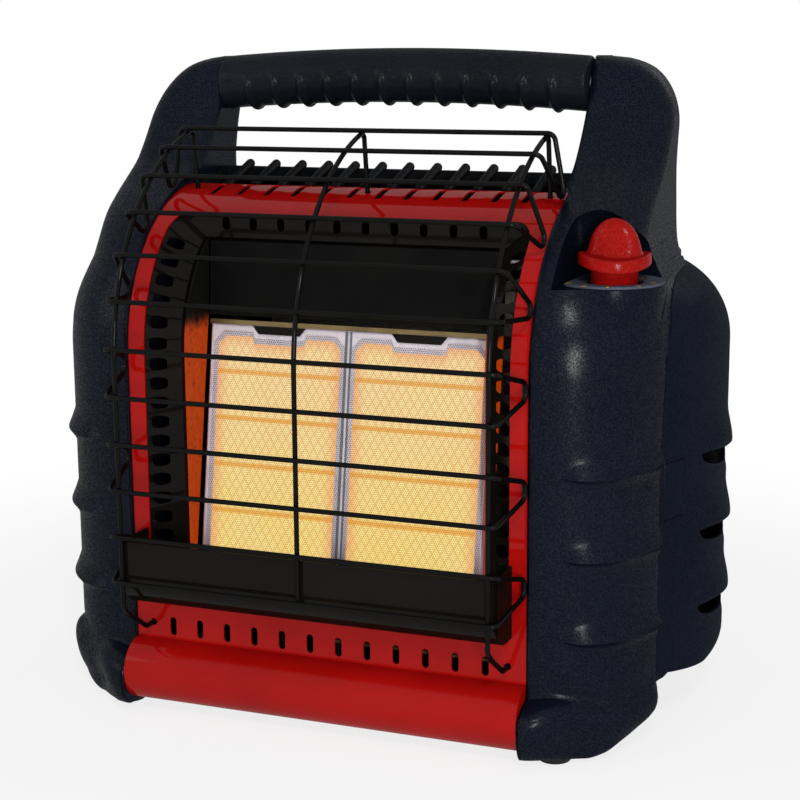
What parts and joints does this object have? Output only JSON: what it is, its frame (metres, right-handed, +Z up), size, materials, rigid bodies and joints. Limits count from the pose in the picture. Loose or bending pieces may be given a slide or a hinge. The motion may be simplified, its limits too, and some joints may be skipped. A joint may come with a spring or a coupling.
{
  "type": "portable propane heater",
  "caption": "Portable radiant gas heater with glowing ceramic plaques behind a wire guard, doors over the gas cylinder bays, a control knob and a carrying handle.",
  "frame": {"origin": "middle of the footprint, on the floor under the feet", "axes": "+Z up, -Y towards the front with the guard, +X towards the side with the control knob"},
  "size_m": [0.43, 0.298, 0.415],
  "materials": {
    "red_enamel": "gloss",
    "black_enamel": "semi-gloss",
    "guard_wire": "satin black",
    "navy_plastic": "fine pebble grain",
    "grip_plastic": "satin",
    "black_plastic": "satin",
    "red_plastic": "semi-gloss",
    "foot_rubber": "matt",
    "zinc_steel": "zinc plated",
    "reflector_steel": "bright rolled sheet",
    "ceramic": "porous ceramic plaque, glowing in use",
    "white_ceramic": "glazed ceramic",
    "gasket_fibre": "pressed ceramic fibre",
    "brass": "machined",
    "copper_tone": "drawn tube",
    "aluminium_tube": "drawn tube",
    "cast_zinc": "die cast"
  },
  "bodies": {
    "housing": {"front_case": "red_enamel", "inner_frame": "black_enamel", "heat_tray": "black_enamel", "guard_rings": "guard_wire", "guard_uprights": "guard_wire", "side_panel_left": "navy_plastic", "side_panel_right": "navy_plastic", "rear_cover": "navy_plastic", "base_pan": "black_enamel", "deck_grille": "black_plastic", "handle_grip": "grip_plastic", "handle_rod": "zinc_steel", "feet": "foot_rubber", "hinge_pin_left": "zinc_steel", "hinge_pin_right": "zinc_steel", "plaque_left": "ceramic", "plaque_right": "ceramic", "plaque_gasket": "gasket_fibre", "burner_box": "zinc_steel", "burner_trim": "brass", "plaque_clip": "black_enamel", "venturi_left": "zinc_steel", "venturi_right": "zinc_steel", "orifice_bar": "brass", "reflector_left": "reflector_steel", "reflector_right": "reflector_steel", "reflector_top": "black_enamel", "reflector_bottom": "reflector_steel", "heat_shield": "reflector_steel", "pilot_bracket": "zinc_steel", "pilot_burner": "brass", "thermocouple": "copper_tone", "spark_electrode": "white_ceramic", "gas_valve": "brass", "dial_plate": "black_plastic", "valve_bracket": "zinc_steel", "piezo_igniter": "white_ceramic", "manifold_tube": "aluminium_tube", "feed_tube": "aluminium_tube", "supply_tube_left": "aluminium_tube", "supply_tube_right": "aluminium_tube", "swivel_post_left": "brass", "swivel_post_right": "brass", "fan_motor": "zinc_steel", "fan_shroud": "black_plastic", "switch_housing": "black_plastic", "power_jack": "black_plastic", "battery_box": "black_plastic", "tip_bracket": "zinc_steel", "case_screws": "zinc_steel"},
    "stem": {"valve_stem": "zinc_steel"},
    "knob": {"knob": "red_plastic"},
    "door_left": {"door_left": "navy_plastic"},
    "door_right": {"door_right": "navy_plastic"},
    "regulator_left": {"regulator_left": "cast_zinc"},
    "regulator_right": {"regulator_right": "cast_zinc"},
    "fan": {"fan_rotor": "black_plastic"},
    "rocker": {"switch_rocker": "red_plastic"},
    "battery_door": {"battery_door": "navy_plastic"},
    "pendulum": {"tip_pendulum": "brass"}
  },
  "joints": [
    {"name": "knob_push", "type": "slide", "parent": "housing", "child": "stem", "axis": [0, 0, -1], "range_m": [0, 0.004], "stiffness_N_per_m": 900, "springref_m": -0.004},
    {"name": "knob_turn", "type": "hinge", "parent": "stem", "child": "knob", "pos_m": [0.1665, -0.061, 0.29], "axis": [0, 0, 1], "range_deg": [0, 240]},
    {"name": "door_left_hinge", "type": "hinge", "parent": "housing", "child": "door_left", "pos_m": [-0.15797, 0.13818, 0.15], "axis": [0, 0, -1], "range_deg": [0, 100]},
    {"name": "door_right_hinge", "type": "hinge", "parent": "housing", "child": "door_right", "pos_m": [0.15797, 0.13818, 0.15], "axis": [0, 0, 1], "range_deg": [0, 100]},
    {"name": "regulator_left_swivel", "type": "hinge", "parent": "housing", "child": "regulator_left", "pos_m": [-0.125, 0.02, 0.25], "axis": [0, 0, 1], "range_deg": [0, 50]},
    {"name": "regulator_right_swivel", "type": "hinge", "parent": "housing", "child": "regulator_right", "pos_m": [0.125, 0.02, 0.25], "axis": [0, 0, -1], "range_deg": [0, 50]},
    {"name": "fan_spin", "type": "hinge", "parent": "housing", "child": "fan", "pos_m": [0, 0.112, 0.184], "axis": [0, 1, 0], "continuous": true},
    {"name": "fan_switch", "type": "hinge", "parent": "housing", "child": "rocker", "pos_m": [0.08, 0.1425, 0.215], "axis": [-1, 0, 0], "range_deg": [0, 20]},
    {"name": "battery_door_hinge", "type": "hinge", "parent": "housing", "child": "battery_door", "pos_m": [0, 0.1455, 0.019], "axis": [-1, 0, 0], "range_deg": [0, 90]},
    {"name": "tip_swing", "type": "hinge", "parent": "housing", "child": "pendulum", "pos_m": [-0.084, 0, 0.058], "axis": [0, 1, 0], "range_deg": [-25, 25]}
  ]
}
